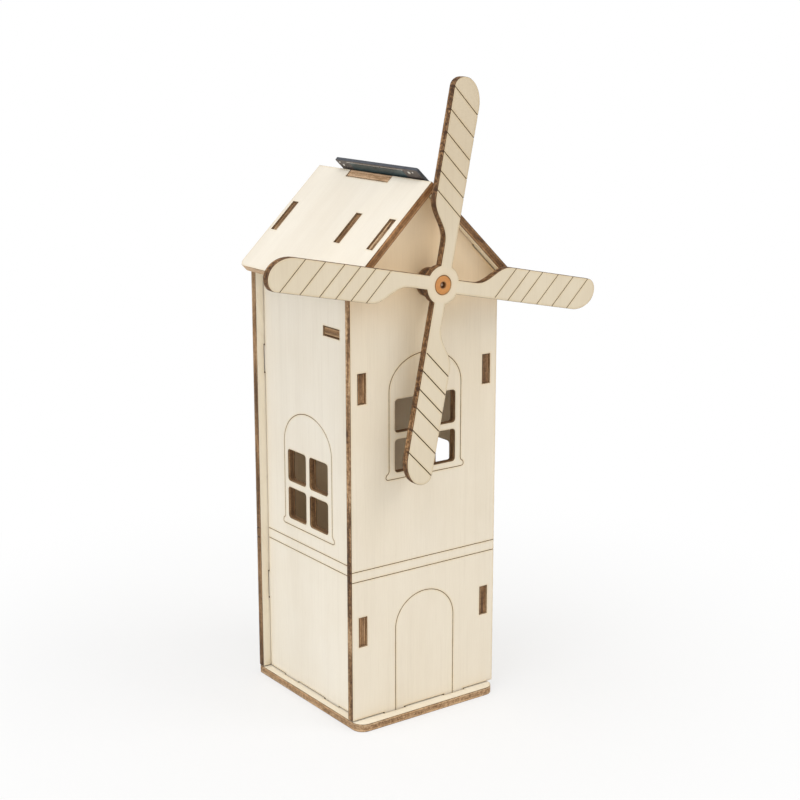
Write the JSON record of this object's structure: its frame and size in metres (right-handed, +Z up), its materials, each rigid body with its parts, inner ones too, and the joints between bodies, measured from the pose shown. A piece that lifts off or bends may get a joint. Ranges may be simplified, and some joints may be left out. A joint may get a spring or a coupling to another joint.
{
  "type": "solar windmill house puzzle",
  "caption": "Laser-cut plywood windmill house that slots together, with a bladed rotor on a small motor shaft and a solar panel on its gabled roof.",
  "frame": {"origin": "centre of the tower's footprint on the underside of the base board", "axes": "+Z up; the front gable with the rotor faces -Y; +X is to the right seen from the front"},
  "size_m": [0.144, 0.0791, 0.237],
  "materials": {
    "plywood": "raw pale plywood, laser-browned cut edges",
    "amber_plastic": "satin",
    "shaft_steel": "ground",
    "can_steel": "plated",
    "nylon": "moulded",
    "bronze": "sintered",
    "brass": "stamped",
    "copper": "bright",
    "ferrite": "sintered",
    "solar_board": "satin circuit board",
    "solar_cell": "dark blue silicon",
    "clear_cover": "clear",
    "foam": "foam tape",
    "wire_red": "sleeved wire",
    "wire_black": "sleeved wire"
  },
  "bodies": {
    "house": {"base_plate": "plywood", "front_panel": "plywood", "back_panel": "plywood", "left_wall": "plywood", "right_wall": "plywood", "left_roof": "plywood", "right_roof": "plywood", "motor_shelf": "plywood", "motor_bulkhead": "plywood", "motor_can": "can_steel", "motor_end_cap": "nylon", "front_bearing": "bronze", "rear_bearing": "bronze", "terminal_left": "brass", "terminal_right": "brass", "brush_left": "copper", "brush_right": "copper", "magnet_left": "ferrite", "magnet_right": "ferrite", "solar_backing": "solar_board", "solar_cell_1": "solar_cell", "solar_cell_2": "solar_cell", "solar_cell_3": "solar_cell", "solar_cell_4": "solar_cell", "solar_cover": "clear_cover", "foam_tape_front": "foam", "foam_tape_rear": "foam", "wire_red": "wire_red", "wire_black": "wire_black"},
    "rotor": {"rotor_blades": "plywood", "rotor_spacer_front": "plywood", "rotor_spacer_rear": "plywood", "hub_bush": "amber_plastic", "motor_shaft": "shaft_steel", "armature_core": "can_steel", "coil_1": "copper", "coil_2": "copper", "coil_3": "copper", "commutator": "copper"}
  },
  "joints": [
    {"name": "rotor_spin", "type": "hinge", "parent": "house", "child": "rotor", "pos_m": [0, -0.03325, 0.165], "axis": [0, -1, 0], "continuous": true}
  ]
}
